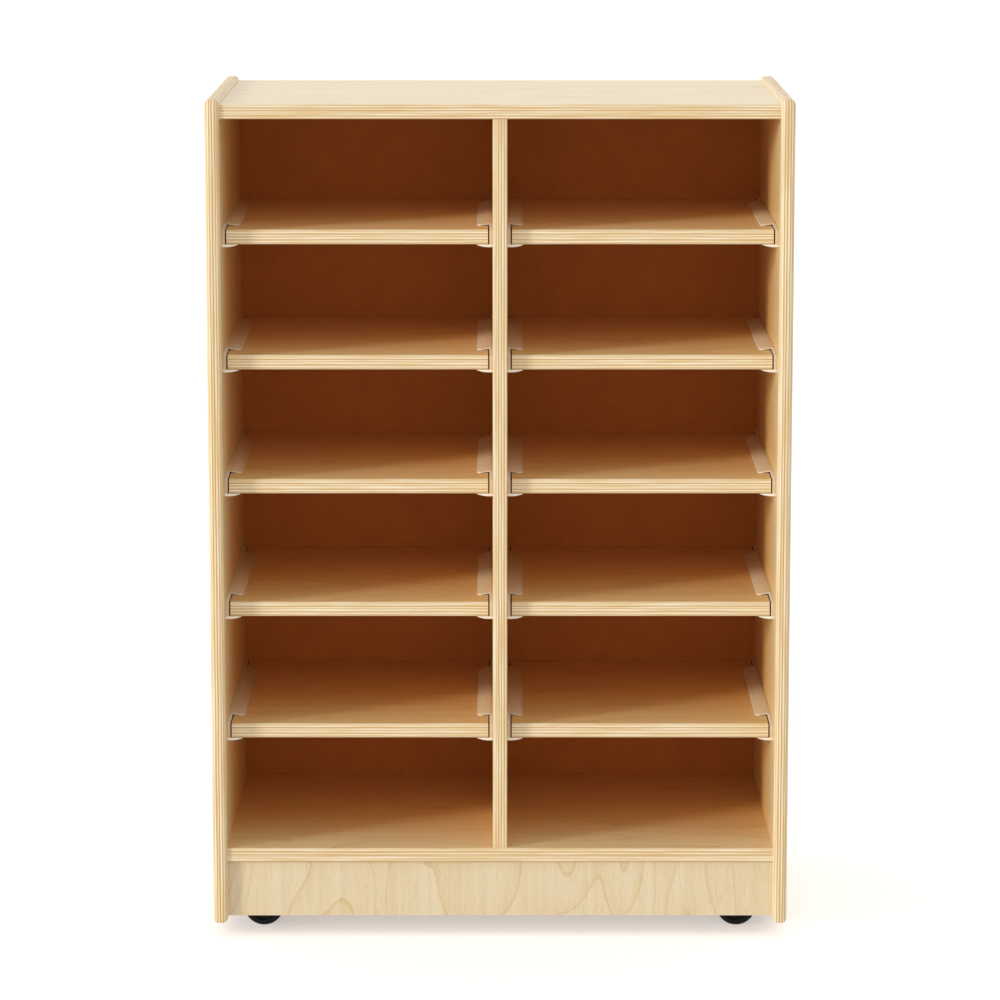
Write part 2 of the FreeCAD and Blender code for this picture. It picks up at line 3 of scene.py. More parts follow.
import bmesh
import bpy
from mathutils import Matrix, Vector


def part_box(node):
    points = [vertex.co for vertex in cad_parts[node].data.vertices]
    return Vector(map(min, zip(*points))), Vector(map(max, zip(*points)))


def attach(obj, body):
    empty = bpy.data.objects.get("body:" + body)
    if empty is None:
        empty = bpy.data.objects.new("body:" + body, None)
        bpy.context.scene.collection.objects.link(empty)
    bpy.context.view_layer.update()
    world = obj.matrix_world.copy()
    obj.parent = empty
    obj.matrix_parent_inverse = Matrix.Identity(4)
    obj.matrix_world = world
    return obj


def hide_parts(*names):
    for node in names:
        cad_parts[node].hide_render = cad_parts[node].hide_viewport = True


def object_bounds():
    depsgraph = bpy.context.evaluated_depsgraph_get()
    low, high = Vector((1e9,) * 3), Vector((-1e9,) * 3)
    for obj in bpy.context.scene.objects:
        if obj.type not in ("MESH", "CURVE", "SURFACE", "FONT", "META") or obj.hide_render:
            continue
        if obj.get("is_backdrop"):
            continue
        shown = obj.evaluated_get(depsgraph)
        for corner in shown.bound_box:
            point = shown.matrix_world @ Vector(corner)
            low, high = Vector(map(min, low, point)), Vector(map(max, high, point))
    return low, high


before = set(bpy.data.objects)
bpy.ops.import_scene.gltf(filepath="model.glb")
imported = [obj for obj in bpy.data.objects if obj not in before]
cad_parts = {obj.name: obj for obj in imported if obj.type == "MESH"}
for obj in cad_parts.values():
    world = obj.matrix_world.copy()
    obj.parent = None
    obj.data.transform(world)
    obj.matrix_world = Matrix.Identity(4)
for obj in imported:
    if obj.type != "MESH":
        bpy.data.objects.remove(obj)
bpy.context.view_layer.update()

# --- Side panels -----------------------------------------------------------------------------
# Two boards of birch plywood stand at the cabinet's ends.  Their exposed edges are rounded over
# and show the plies; the faces are pale birch veneer under a clear matt coat, except that the
# face looking into the bays is painted warmer and deeper there, as painted shade.  Each is housed
# for the top, the deck and the plinths.
X, Y, Z = 0, 1, 2
BOARD = 0.018
EDGE_CREAM = (0.93, 0.80, 0.56, 1)
EDGE_STRAW = (0.79, 0.58, 0.29, 1)
CROSS_PLY = (0.53, 0.28, 0.07, 1)
# A shelf's raw ends are darkened by this: partly the raw end grain, partly painted shade of the
# runner's slot they sit in.
SAWN_END_AND_PAINTED_SHADE = (0.50, 0.26, 0.10, 1)
LATE_WOOD = (0.84, 0.70, 0.47, 1)
# Painted shade: faces that look into a bay are multiplied towards this deeper, more saturated
# tone over this reach behind the bay's front.
REAR_PAINTED_SHADE = (1.0, 0.80, 0.44, 1)
REAR_PAINTED_SHADE_REACH = 0.22
OUTER_VENEER = (0.80, 0.675, 0.455, 1)
# Painted shade: the side's face that looks into the bays is a warmer, deeper copy of the veneer.
SIDE_PAINTED_SHADE = (0.85, 0.66, 0.36, 1)
EDGE_ROUNDING = 0.0005
# A cross ply is a dark line in the edge.  Half its width, the same with its soft rims, and how
# far it wavers are shares of the board.  The two outermost plies are a little dark.  Specks
# scale a cross ply's darkness, by the least value and up to the spread more.
PLY_LINE = 0.020
PLY_LINE_SOFT = 0.050
PLY_WAVER = 0.05
OUTERMOST_PLY = 0.25
PLY_TONE_STRETCH = (520, 11)
PLY_TONE_RANGE = (0.37, 0.6478)
SPECK_LEAST = 0.62
SPECK_SPREAD = 0.7
# Rings in the whole height of the slow bump, and how far each mark of the figure takes a face
# towards the late wood's tone.  A mark's range is where in its texture it begins and is full;
# a stretch is a texture's fineness (along, across) the grain.
RINGS = 13.0
RING_RANGE = (0.3, 1.0)
RING_SHADE = 0.17
LATE_WOOD_RANGE = (0.88, 1.0)
LATE_WOOD_SHADE = 0.42
PORE_RANGE = (0.52, 0.72)
PORE_SHADE = 0.35
STREAK_MIDDLE = 0.38
STREAK_STRETCH = (2.5, 95)
PORE_STRETCH = (70, 620)
RING_WANDER = 1.3
RING_ACROSS = 6.5
SEED_SHIFTS = (1.0, 0.7, 1.3)
COAT_ROUGHNESS = 0.42
COAT_GLOSS = 0.5
COAT_SHEEN = 0.14
COAT_TINT = (1.0, 0.86, 0.57, 1)
RAW_GLOSS = 0.05
# A relief is (strength, depth in metres).
GRAIN_RELIEF = (0.08, 0.0004)
# How far a point's normal reaches along an axis: from the first value on the point begins to
# belong to a board's face or a raw end, and from the second on it does.  Between minus and
# plus the single value, one face's veneer gives way to the other's.
VENEER_FACING = (0.86, 0.97)
RAW_FACING = (0.9, 0.98)
EDGE_FACING = 0.1
SIDE_CROSS_PLIES = ((0.14, 0.45), (0.31, 0.8), (0.50, 1.0), (0.70, 0.85), (0.87, 0.5))


def wire(tree, kind, inputs=None, **settings):
    """Add a node.  Each input is a plain value or the socket that feeds it."""
    part = tree.nodes.new(kind)
    for key, value in settings.items():
        setattr(part, key, value)
    for key, value in (inputs or {}).items():
        if isinstance(value, bpy.types.NodeSocket):
            tree.links.new(value, part.inputs[key])
        else:
            part.inputs[key].default_value = value
    return part


def compute(tree, operation, first, second=0.0, clamp=False):
    part = wire(tree, "ShaderNodeMath", {0: first, 1: second}, operation=operation,
                use_clamp=clamp)
    return part.outputs[0]


def blend_colours(tree, share, first, second, method="MIX"):
    """Mix two colours.  In a mix node they are inputs 6 and 7, and the result is output 2."""
    part = wire(tree, "ShaderNodeMix", {"Factor": share, 6: first, 7: second},
                data_type="RGBA", blend_type=method)
    return part.outputs[2]


def ramp_between(tree, value, start, end, low=0.0, high=1.0, smooth=False):
    """Low up to the start, high from the end on, and a ramp between them."""
    part = wire(tree, "ShaderNodeMapRange", {"Value": value, "From Min": start, "From Max": end,
                                             "To Min": low, "To Max": high},
                interpolation_type="SMOOTHSTEP" if smooth else "LINEAR")
    return part.outputs["Result"]


def noise(tree, place, scale=1.0, detail=2.0, roughness=0.5, distortion=0.0):
    """Soft noise from 0 to 1, with a pattern of about 1 / scale metres."""
    part = wire(tree, "ShaderNodeTexNoise",
                {"Vector": place, "Scale": scale, "Detail": detail, "Roughness": roughness,
                 "Distortion": distortion})
    return part.outputs["Fac"]


def surface_relief(tree, height, strength, depth):
    """A fine relief for a surface, up to depth in metres."""
    part = wire(tree, "ShaderNodeBump", {"Height": height, "Strength": strength,
                                         "Distance": depth})
    return part.outputs[0]


def new_material(name):
    material = bpy.data.materials.new(name)
    material.use_nodes = True
    material.node_tree.nodes.clear()
    return material, material.node_tree


def close_material(tree, shader):
    wire(tree, "ShaderNodeOutputMaterial", {"Surface": shader})


def stretched(tree, place, grain, along, across):
    """The place, squeezed so that a texture runs long with the grain."""
    factors = [across] * 3
    factors[grain] = along
    return wire(tree, "ShaderNodeVectorMath", {0: place, 1: factors},
                operation="MULTIPLY").outputs[0]


def veneer(tree, place, grain, wander, seed):
    """How dark the figure of a sliced birch face is, from 0 to 1: long streaks, short pores,
    and the growth rings as the level lines of a slow bump.  Each ring darkens slowly to a
    thin late-wood line and ends sharply.  The rings wander more where wander is higher."""
    shifted = wire(tree, "ShaderNodeVectorMath",
                   {0: place, 1: [seed * shift for shift in SEED_SHIFTS]},
                   operation="ADD").outputs[0]
    streaks = noise(tree, stretched(tree, shifted, grain, *STREAK_STRETCH), detail=5.0,
                    roughness=0.62, distortion=0.25)
    bump = noise(tree, stretched(tree, shifted, grain, wander, RING_ACROSS), roughness=0.45,
                 distortion=0.3)
    level = compute(tree, "FRACT", compute(tree, "MULTIPLY", bump, RINGS))
    rings = ramp_between(tree, level, *RING_RANGE, high=RING_SHADE, smooth=True)
    late_wood = ramp_between(tree, level, *LATE_WOOD_RANGE, high=LATE_WOOD_SHADE, smooth=True)
    pores = noise(tree, stretched(tree, shifted, grain, *PORE_STRETCH))
    pores = ramp_between(tree, pores, *PORE_RANGE, high=PORE_SHADE)
    fine = compute(tree, "SUBTRACT", streaks, STREAK_MIDDLE)
    dark = compute(tree, "ADD", compute(tree, "ADD", rings, late_wood),
                   compute(tree, "ADD", fine, pores), clamp=True)
    return dark, streaks


def ply_lines(tree, depth, cross_plies):
    """How dark the edge is at a depth through the board: each cross ply makes a soft line."""
    lines = wire(tree, "ShaderNodeValToRGB", {"Fac": depth})
    stops = [(0.0, OUTERMOST_PLY), (1.0, OUTERMOST_PLY)]
    for middle, darkness in cross_plies:
        stops += [(middle - PLY_LINE_SOFT, 0.0), (middle - PLY_LINE, darkness),
                  (middle + PLY_LINE, darkness), (middle + PLY_LINE_SOFT, 0.0)]
    ramp = lines.color_ramp
    while len(ramp.elements) < len(stops):
        ramp.elements.new(0.5)
    for element, (spot, darkness) in zip(ramp.elements, sorted(stops)):
        element.position = spot
        element.color = (darkness, darkness, darkness, 1)
    return lines.outputs["Color"]


def plywood(name, through, low_face, grain, cross_plies, low_veneer, high_veneer, seed=0.0,
            wander=RING_WANDER, sawn_axis=None, bays=None, bay_front=None):
    """Birch plywood: veneer on the two faces, plies on every edge.  The plies are counted
    through the board from its low face; a cross ply is (place, depth).  Ends across the sawn
    axis are left raw and darkened, partly as raw end grain and partly as painted shade.
    Outside the heights of the bays both faces are pale.  The colours given for faces that
    look into a bay are painted shade, and behind the bay's front they grow deeper, as more
    painted shade."""
    material, tree = new_material(name)
    coordinates = wire(tree, "ShaderNodeTexCoord")
    place = coordinates.outputs["Object"]
    axes = wire(tree, "ShaderNodeSeparateXYZ", {0: place})
    waver = compute(tree, "MULTIPLY", compute(
        tree, "SUBTRACT", noise(tree, place, scale=9.0, detail=3.0), 0.5), PLY_WAVER)
    depth = compute(tree, "DIVIDE", compute(tree, "SUBTRACT", axes.outputs[through], low_face),
                    BOARD)
    lines = ply_lines(tree, compute(tree, "ADD", depth, waver), cross_plies)
    # Long plies vary between cream and straw, cross plies show end grain as fine specks.
    ply_tone = noise(tree, stretched(tree, place, through, *PLY_TONE_STRETCH))
    long_plies = blend_colours(tree, ramp_between(tree, ply_tone, *PLY_TONE_RANGE),
                               EDGE_CREAM, EDGE_STRAW)
    specks = compute(tree, "ADD", compute(
        tree, "MULTIPLY", noise(tree, place, scale=900.0), SPECK_SPREAD), SPECK_LEAST)
    dark = compute(tree, "MULTIPLY", lines, specks, clamp=True)
    edge_colour = blend_colours(tree, dark, long_plies, CROSS_PLY)
    figure, streaks = veneer(tree, place, grain, wander, seed)
    facing = wire(tree, "ShaderNodeSeparateXYZ", {0: coordinates.outputs["Normal"]})
    gloss, sheen = COAT_GLOSS, COAT_SHEEN
    if sawn_axis is not None:
        raw_end = ramp_between(tree, compute(tree, "ABSOLUTE", facing.outputs[sawn_axis]),
                               *RAW_FACING)
        # Raw end grain and painted shade of the runner's slot darken the raw ends.
        edge_colour = blend_colours(tree, raw_end, edge_colour, SAWN_END_AND_PAINTED_SHADE, "MULTIPLY")
        gloss = ramp_between(tree, raw_end, 0.0, 1.0, COAT_GLOSS, RAW_GLOSS)
        sheen = ramp_between(tree, raw_end, 0.0, 1.0, COAT_SHEEN, 0.0)
    # Painted shade: a face that looks into a bay grows deeper towards the bay's rear.
    if bay_front is not None:
        painted_rear_shade_share = ramp_between(tree, axes.outputs[Y], bay_front, bay_front + REAR_PAINTED_SHADE_REACH,
                              smooth=True)
        if low_veneer != OUTER_VENEER:
            low_veneer = blend_colours(tree, painted_rear_shade_share, low_veneer, REAR_PAINTED_SHADE, "MULTIPLY")
        if high_veneer != OUTER_VENEER:
            high_veneer = blend_colours(tree, painted_rear_shade_share, high_veneer, REAR_PAINTED_SHADE, "MULTIPLY")
    side = facing.outputs[through]
    base = blend_colours(tree, ramp_between(tree, side, -EDGE_FACING, EDGE_FACING), low_veneer,
                         high_veneer)
    # Outside the bays' heights the pale veneer takes the place of the painted shade.
    if bays is not None:
        inside = compute(tree, "MULTIPLY",
                         compute(tree, "GREATER_THAN", axes.outputs[Z], bays[0]),
                         compute(tree, "LESS_THAN", axes.outputs[Z], bays[1]))
        base = blend_colours(tree, inside, OUTER_VENEER, base)
    ring_colour = blend_colours(tree, 1.0, base, LATE_WOOD, "MULTIPLY")
    face_colour = blend_colours(tree, figure, base, ring_colour)
    is_face = ramp_between(tree, compute(tree, "ABSOLUTE", side), *VENEER_FACING)
    colour = blend_colours(tree, is_face, edge_colour, face_colour)
    shader = wire(tree, "ShaderNodeBsdfPrincipled",
                  {"Base Color": colour, "Roughness": COAT_ROUGHNESS,
                   "Specular IOR Level": gloss, "Sheen Weight": sheen, "Sheen Roughness": 0.5,
                   "Sheen Tint": COAT_TINT,
                   "Normal": surface_relief(tree, streaks, *GRAIN_RELIEF)})
    close_material(tree, shader.outputs[0])
    return material


def dress(node, material):
    """Give a CAD node its finish."""
    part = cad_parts[node]
    for place in part.material_slots:
        place.material = material


bay_heights = (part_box("deck_panel")[0].z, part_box("top_panel")[1].z - EDGE_ROUNDING)
# The face that looks into the bays carries painted shade within the bays' heights.
for node, faces, seed in (("side_panel_left", (OUTER_VENEER, SIDE_PAINTED_SHADE), 0.0),
                          ("side_panel_right", (SIDE_PAINTED_SHADE, OUTER_VENEER), 3.1)):
    low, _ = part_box(node)
    dress(node, plywood(f"birch_{node}", X, low.x, Z, SIDE_CROSS_PLIES, *faces, seed=seed,
                        bays=bay_heights, bay_front=low.y))

# --- Top and deck ----------------------------------------------------------------------------
# The top and the deck are the same birch plywood, lying between the sides with the grain from
# side to side.  Their front edges are eased and show the plies.  The top's upper face is painted
# paler, as painted light, and the faces that look into the bays are painted warmer, as painted
# shade, most of all the undersides.
TOP_CROSS_PLIES = ((0.05, 0.6), (0.22, 0.9), (0.40, 0.5), (0.58, 0.9), (0.76, 0.8), (0.93, 0.4))
# Painted light: the top's upper face is a paler, lighter copy of the veneer, standing in for the
# light its coat reflects.
TOP_PAINTED_LIGHT = (0.91, 0.78, 0.565, 1)
# Painted shade: the undersides, and the deck's upper face, look into the bays and are warmer,
# deeper copies of the veneer.
UNDERSIDE_PAINTED_SHADE = (0.85, 0.42, 0.09, 1)
DECK_PAINTED_SHADE = (0.89, 0.69, 0.39, 1)
DECK_CROSS_PLIES = ((0.06, 0.8), (0.24, 0.4), (0.40, 0.35), (0.52, 1.0), (0.73, 1.0), (0.94, 0.3))
# The top's underside carries painted shade and its upper face painted light.
low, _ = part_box("top_panel")
dress("top_panel", plywood("birch_top_panel", Z, low.z, X, TOP_CROSS_PLIES,
                           UNDERSIDE_PAINTED_SHADE, TOP_PAINTED_LIGHT, seed=5.7))
low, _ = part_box("deck_panel")
dress("deck_panel", plywood("birch_deck_panel", Z, low.z, X, DECK_CROSS_PLIES,
                            OUTER_VENEER, DECK_PAINTED_SHADE, seed=8.3, bay_front=low.y))

# --- Centre divider --------------------------------------------------------------------------
# One upright board of the same birch plywood parts the two columns.  It is tongued into the
# top and the deck, and its front edge is rounded over.
# Painted shade: faces that look into the bays, on the divider and the shelf tops, are a warmer,
# deeper copy of the veneer.
BAY_FACE_PAINTED_SHADE = (0.855, 0.59, 0.245, 1)
DIVIDER_CROSS_PLIES = ((0.05, 0.25), (0.24, 0.5), (0.42, 0.9), (0.60, 0.8), (0.79, 1.0),
                       (0.95, 0.2))
low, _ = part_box("center_divider")
dress("center_divider", plywood("birch_center_divider", X, low.x, Z, DIVIDER_CROSS_PLIES,
                                BAY_FACE_PAINTED_SHADE, BAY_FACE_PAINTED_SHADE, seed=11.9, bay_front=low.y))

# --- Back panel ------------------------------------------------------------------------------
# A thin brown fibreboard closes the rear.  It has no grain, only a fine cloudy mottle, and it
# slides in grooves round the four boards.  The face that looks into the bays is painted a deep,
# saturated brown as painted shade; the face behind is duller and darker.
# Painted shade: the deep, saturated browns of the face that looks into the bays.
BACK_PAINTED_SHADE = (0.68, 0.245, 0.030, 1)
BACK_PAINTED_SHADE_DARK = (0.55, 0.175, 0.018, 1)
REAR_BROWN = (0.40, 0.235, 0.115, 1)
REAR_DARK = (0.29, 0.16, 0.072, 1)
CLOUD_LEAST = 0.25
CLOUD_SHARE = 1.3
FIBRE_SHARE = 0.5
FIBRE_RELIEF = (0.15, 0.0003)
# A point whose normal reaches this far along an axis counts as facing that way.
SQUARELY = 0.5


def fibreboard(name):
    material, tree = new_material(name)
    coordinates = wire(tree, "ShaderNodeTexCoord")
    place = coordinates.outputs["Object"]
    clouds = noise(tree, place, scale=26.0, detail=6.0, roughness=0.7)
    fibres = noise(tree, place, scale=420.0, detail=3.0, roughness=0.6)
    clouds = compute(tree, "MULTIPLY", compute(tree, "SUBTRACT", clouds, CLOUD_LEAST),
                     CLOUD_SHARE)
    share = compute(tree, "ADD", clouds, compute(tree, "MULTIPLY", fibres, FIBRE_SHARE),
                    clamp=True)
    # Painted shade on the face in the bays; the face behind takes the rear browns.
    colour = blend_colours(tree, share, BACK_PAINTED_SHADE, BACK_PAINTED_SHADE_DARK)
    facing = wire(tree, "ShaderNodeSeparateXYZ", {0: coordinates.outputs["Normal"]})
    behind = compute(tree, "GREATER_THAN", facing.outputs[Y], SQUARELY)
    colour = blend_colours(tree, behind, colour,
                           blend_colours(tree, share, REAR_BROWN, REAR_DARK))
    shader = wire(tree, "ShaderNodeBsdfPrincipled",
                  {"Base Color": colour, "Roughness": 0.62, "Specular IOR Level": 0.35,
                   "Normal": surface_relief(tree, fibres, *FIBRE_RELIEF)})
    close_material(tree, shader.outputs[0])
    return material


dress("back_panel", fibreboard("brown_fibreboard"))

# --- Plinths ---------------------------------------------------------------------------------
# A kick board under the deck at the front and another at the rear, of the same plywood with
# its veneer upright.  They are tongued into the sides and stop short of the floor.
PLINTH_WANDER = 2.2
PLINTH_CROSS_PLIES = ((0.14, 0.5), (0.32, 0.9), (0.5, 1.0), (0.68, 0.9), (0.86, 0.5))
for node, seed in (("plinth_front", 14.2), ("plinth_rear", 17.5)):
    low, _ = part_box(node)
    dress(node, plywood(f"birch_{node}", Y, low.y, Z, PLINTH_CROSS_PLIES,
                        OUTER_VENEER, OUTER_VENEER, seed=seed, wander=PLINTH_WANDER))

# --- Shelves ---------------------------------------------------------------------------------
# Ten loose shelves of the same plywood slide in the runners, their grain from side to side and
# their front edges lightly chamfered.
SHELF_FIGURE = 20
SHELF_FIGURE_STEP = 2.7
SHELF_CROSS_PLIES = ((0.10, 0.6), (0.30, 0.85), (0.53, 0.55), (0.70, 0.9), (0.90, 0.35))
shelf_names = sorted(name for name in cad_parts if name.startswith("shelf_"))
for index, node in enumerate(shelf_names):
    low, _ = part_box(node)
    # Both faces carry painted shade, which deepens behind the shelf's front.
    dress(node, plywood(f"birch_{node}", Z, low.z, X, SHELF_CROSS_PLIES,
                        UNDERSIDE_PAINTED_SHADE, BAY_FACE_PAINTED_SHADE,
                        seed=SHELF_FIGURE + SHELF_FIGURE_STEP * index, sawn_axis=X,
                        bay_front=low.y))

# --- Shelf runners ---------------------------------------------------------------------------
# Moulded channels of milky plastic, one at each end of every shelf, each held to its board by
# three countersunk screws.  The thin lip lies on the shelf, and its upper faces are painted in
# the wood's warm tone as painted light seen through it; the channel is painted dark brown and the
# web's front tan, as painted shade; and all edges have the mould's small radius.
RUNNER_CREAM = (0.97, 0.91, 0.80, 1)
# The plastic's clouds drift towards this warm tone; on the lip's upper faces it is painted light,
# standing in for the wood seen through the thin plastic.
RUNNER_CLOUD_AND_PAINTED_LIGHT = (0.89, 0.76, 0.53, 1)
# Painted shade: the dark brown of the channel, a recess where little light reaches.
RUNNER_PAINTED_SLOT_SHADE = (0.40, 0.19, 0.07, 1)
# Painted shade: the tan of the web's front below the lip.
RUNNER_PAINTED_MOUTH_SHADE = (0.73, 0.56, 0.37, 1)
RUNNER_MOULD_RADIUS = 0.0004
RUNNER_FLANGE = 0.0032
RUNNER_FLANGE_TOP = 0.0047
RUNNER_THROAT = 0.0212
RUNNER_NOSE = 0.041
RUNNER_FLOW_STRETCH = (6, 60)
RUNNER_CLOUDING = 0.25
RUNNER_RELIEF = (0.05, 0.0002)
LIP_FACING = (0.75, 0.97)
RUNNER_GLOSS = 0.5
CHANNEL_GLOSS = 0.05
MERGE_DISTANCE = 1e-6
FLAT_ANGLE = math.radians(1)
MOULDED_EDGE_ANGLE = math.radians(40)


def milky_plastic(name, front):
    """Milky plastic for runners that begin at the place front along Y."""
    material, tree = new_material(name)
    coordinates = wire(tree, "ShaderNodeTexCoord")
    place = coordinates.outputs["Object"]
    flow = noise(tree, stretched(tree, place, Y, *RUNNER_FLOW_STRETCH), detail=3.0)
    facing = wire(tree, "ShaderNodeSeparateXYZ", {0: coordinates.outputs["Normal"]})
    upward = facing.outputs[Z]
    along = wire(tree, "ShaderNodeSeparateXYZ", {0: place}).outputs[Y]
    # Painted light: the lip's upper faces behind the nose take the wood's tone seen through the
    # plastic.
    painted_light_on_lip = compute(tree, "MULTIPLY", ramp_between(tree, upward, *LIP_FACING),
                      compute(tree, "GREATER_THAN", along, front + RUNNER_NOSE))
    clouded = blend_colours(tree, compute(tree, "MULTIPLY", flow, RUNNER_CLOUDING),
                            RUNNER_CREAM, RUNNER_CLOUD_AND_PAINTED_LIGHT)
    colour = blend_colours(tree, painted_light_on_lip, clouded, RUNNER_CLOUD_AND_PAINTED_LIGHT)
    # The channel is the flange's top and the web's side, up to the lip; it is painted dark brown
    # as painted shade.  Its mouth is the web's front, painted tan as painted shade.
    height = wire(tree, "ShaderNodeAttribute", attribute_name="height").outputs["Fac"]
    above_flange = compute(tree, "GREATER_THAN", height, RUNNER_FLANGE)
    below_lip = compute(tree, "LESS_THAN", height, RUNNER_THROAT)
    sideways = compute(tree, "ABSOLUTE", facing.outputs[X])
    web_side = compute(tree, "MULTIPLY",
                       compute(tree, "GREATER_THAN", sideways, SQUARELY), below_lip)
    web_front = compute(tree, "MULTIPLY",
                        compute(tree, "LESS_THAN", facing.outputs[Y], -SQUARELY), below_lip)
    flange_top = compute(tree, "MULTIPLY", compute(tree, "GREATER_THAN", upward, SQUARELY),
                         compute(tree, "LESS_THAN", height, RUNNER_FLANGE_TOP))
    channel = compute(tree, "MULTIPLY", above_flange,
                      compute(tree, "MAXIMUM", web_side, flange_top))
    mouth = compute(tree, "MULTIPLY", above_flange, web_front)
    # Painted shade on the web's front.
    colour = blend_colours(tree, mouth, colour, RUNNER_PAINTED_MOUTH_SHADE)
    # Painted shade in the channel.
    colour = blend_colours(tree, channel, colour, RUNNER_PAINTED_SLOT_SHADE)
    gloss = ramp_between(tree, channel, 0.0, 1.0, RUNNER_GLOSS, CHANNEL_GLOSS)
    skin = noise(tree, place, scale=1500.0)
    shader = wire(tree, "ShaderNodeBsdfPrincipled",
                  {"Base Color": colour, "Roughness": 0.36, "Specular IOR Level": gloss,
                   "Normal": surface_relief(tree, skin, *RUNNER_RELIEF)})
    close_material(tree, shader.outputs[0])
    return material


def link(piece):
    bpy.context.scene.collection.objects.link(piece)
    return piece


def make_plain(piece):
    """Turn a piece and its modifiers into a plain mesh."""
    scene_state = bpy.context.evaluated_depsgraph_get()
    plain = bpy.data.meshes.new_from_object(piece.evaluated_get(scene_state))
    piece.modifiers.clear()
    piece.data = plain


def soften(node, radius, material, body):
    """A moulded piece in place of a CAD node: the same shape with rounded edges.  Each point
    keeps its height above the piece's foot."""
    shape = bmesh.new()
    shape.from_mesh(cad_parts[node].data)
    bmesh.ops.remove_doubles(shape, verts=shape.verts, dist=MERGE_DISTANCE)
    bmesh.ops.dissolve_limit(shape, angle_limit=FLAT_ANGLE, verts=shape.verts,
                             edges=shape.edges)
    for face in shape.faces:
        face.smooth = True
        face.material_index = 0
    mesh = bpy.data.meshes.new(f"{node}_moulding")
    shape.to_mesh(mesh)
    shape.free()
    mesh.materials.append(material)
    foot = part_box(node)[0].z
    height = mesh.attributes.new("height", "FLOAT", "POINT")
    height.data.foreach_set("value", [corner.co.z - foot for corner in mesh.vertices])
    piece = link(bpy.data.objects.new(mesh.name, mesh))
    rounding = piece.modifiers.new("mould_radius", "BEVEL")
    rounding.width = radius
    rounding.segments = 2
    rounding.limit_method = "ANGLE"
    rounding.angle_limit = MOULDED_EDGE_ANGLE
    rounding.harden_normals = True
    make_plain(piece)
    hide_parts(node)
    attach(piece, body)


runner_names = sorted(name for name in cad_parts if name.startswith("runner_"))
runner_plastic = milky_plastic("milky_runner_plastic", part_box(runner_names[0])[0].y)
for node in runner_names:
    soften(node, RUNNER_MOULD_RADIUS, runner_plastic, "cabinet")

# --- Screws ----------------------------------------------------------------------------------
# Zinc-plated cross-head screws: countersunk ones in the webs of the runners, and pan heads in
# the corners of the caster plates.  Each is turned to its own angle.
ZINC = (0.62, 0.62, 0.60, 1)
ZINC_BLOOM = (0.50, 0.51, 0.50, 1)
ZINC_ROUGHNESS = (0.28, 0.45)
RUNNER_WEB = 0.0041
RUNNER_SCREW_SPOTS = (0.030, 0.1875, 0.345)
RUNNER_SCREW_HEIGHT = 0.0125
RUNNER_SCREW = {"Head Radius": 0.0033, "Head Height": 0.0005,
                "Recess Width": 0.0008, "Recess Depth": 0.00045}
HEAD_SEGMENTS = 24
HEAD_RINGS = 12
# The bars that cut the cross are this many times as long as the head's radius.
RECESS_REACH = 1.15


def zinc_plating(name):
    material, tree = new_material(name)
    place = wire(tree, "ShaderNodeTexCoord").outputs["Object"]
    bloom = noise(tree, place, scale=160.0, detail=4.0)
    colour = blend_colours(tree, bloom, ZINC, ZINC_BLOOM)
    rough = ramp_between(tree, bloom, 0.0, 1.0, *ZINC_ROUGHNESS)
    shader = wire(tree, "ShaderNodeBsdfPrincipled",
                  {"Base Color": colour, "Metallic": 1.0, "Roughness": rough})
    close_material(tree, shader.outputs[0])
    return material


